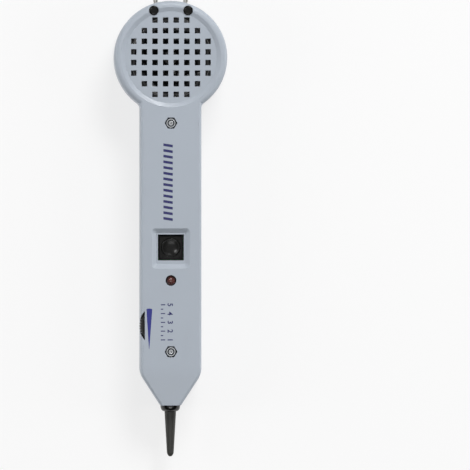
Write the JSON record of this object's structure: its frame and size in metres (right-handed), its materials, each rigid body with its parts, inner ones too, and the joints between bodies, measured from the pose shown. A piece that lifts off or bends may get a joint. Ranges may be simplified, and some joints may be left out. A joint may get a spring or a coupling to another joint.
{
  "type": "wire tracing amplifier probe",
  "caption": "Handheld inductive amplifier probe with a round speaker head, battery handle, push button, lamp, volume thumbwheel and slender tip.",
  "frame": {"origin": "on the flat back of the case, under the middle of the round speaker head", "axes": "+Z out of the front face, +Y along the handle towards the head, +X to the right of a person who reads the front with the head up"},
  "size_m": [0.058, 0.2366, 0.0254],
  "materials": {
    "shell_front": "fine satin moulded ABS, grey-blue",
    "shell_rear": "fine satin moulded ABS, grey-blue",
    "zinc_steel": "zinc plated steel",
    "nut_steel": "plated steel nuts",
    "nickel": "nickel plated turned brass",
    "cap_black": "glossy black moulded caps",
    "foam_black": "black foam",
    "speaker_steel": "pressed plated steel",
    "cone_film": "dark film cone with a soft sheen",
    "magnet": "ferrite ring and plated pole",
    "tag_brass": "brass",
    "battery_can": "printed steel can, bare of text",
    "snap_black": "soft black vinyl",
    "wire_red": "red PVC insulation",
    "wire_black": "black PVC insulation",
    "wire_grey": "grey PVC insulation",
    "wire_yellow": "yellow PVC insulation",
    "wire_blue": "blue PVC insulation",
    "board_green": "green solder resist",
    "switch_black": "black switch moulding",
    "button_black": "glossy black push button",
    "spring_steel": "music wire",
    "lamp_red": "unlit red-brown tinted epoxy",
    "tinned_wire": "tinned wire",
    "chip_black": "black moulded package",
    "capacitor_blue": "sleeved aluminium can",
    "resistor_tan": "lacquered body",
    "pot_grey": "pressed cover",
    "wheel_black": "black toothed wheel",
    "tip_black": "satin conductive plastic",
    "collar_black": "black domed collar"
  },
  "bodies": {
    "case": {"front_shell": "shell_front", "rear_shell": "shell_rear", "case_screws": "zinc_steel", "case_nuts": "nut_steel", "terminal_nibs": "nickel", "terminal_caps": "cap_black", "terminal_washers": "zinc_steel", "terminal_leads": "wire_yellow", "speaker_gasket": "foam_black", "speaker_frame": "speaker_steel", "speaker_cone": "cone_film", "speaker_magnet": "magnet", "speaker_tags": "tag_brass", "speaker_leads": "wire_grey", "battery": "battery_can", "battery_snap": "snap_black", "battery_lead_red": "wire_red", "battery_lead_black": "wire_black", "battery_pad": "foam_black", "circuit_board": "board_green", "switch_housing": "switch_black", "button_spring": "spring_steel", "led": "lamp_red", "led_legs": "tinned_wire", "amplifier_chip": "chip_black", "capacitors": "capacitor_blue", "resistors": "resistor_tan", "transistor": "chip_black", "volume_pot": "pot_grey", "probe_tip": "tip_black", "tip_collar": "collar_black", "tip_contact": "tag_brass", "tip_lead": "wire_blue"},
    "door": {"battery_door": "shell_rear"},
    "button": {"push_button": "button_black"},
    "wheel": {"volume_wheel": "wheel_black", "pot_shaft": "tinned_wire", "wheel_screw": "zinc_steel"}
  },
  "joints": [
    {"name": "button_press", "type": "slide", "parent": "case", "child": "button", "axis": [0, 0, -1], "range_m": [0, 0.0012], "stiffness_N_per_m": 500, "springref_m": -0.002, "deforming": ["button_spring"]},
    {"name": "volume_turn", "type": "hinge", "parent": "case", "child": "wheel", "pos_m": [-0.0055, -0.1377, 0.0192], "axis": [0, 0, 1], "range_deg": [-150, 150]},
    {"name": "door_swing", "type": "hinge", "parent": "case", "child": "door", "pos_m": [0, -0.0402, 0], "axis": [1, 0, 0], "range_deg": [0, 70]}
  ]
}
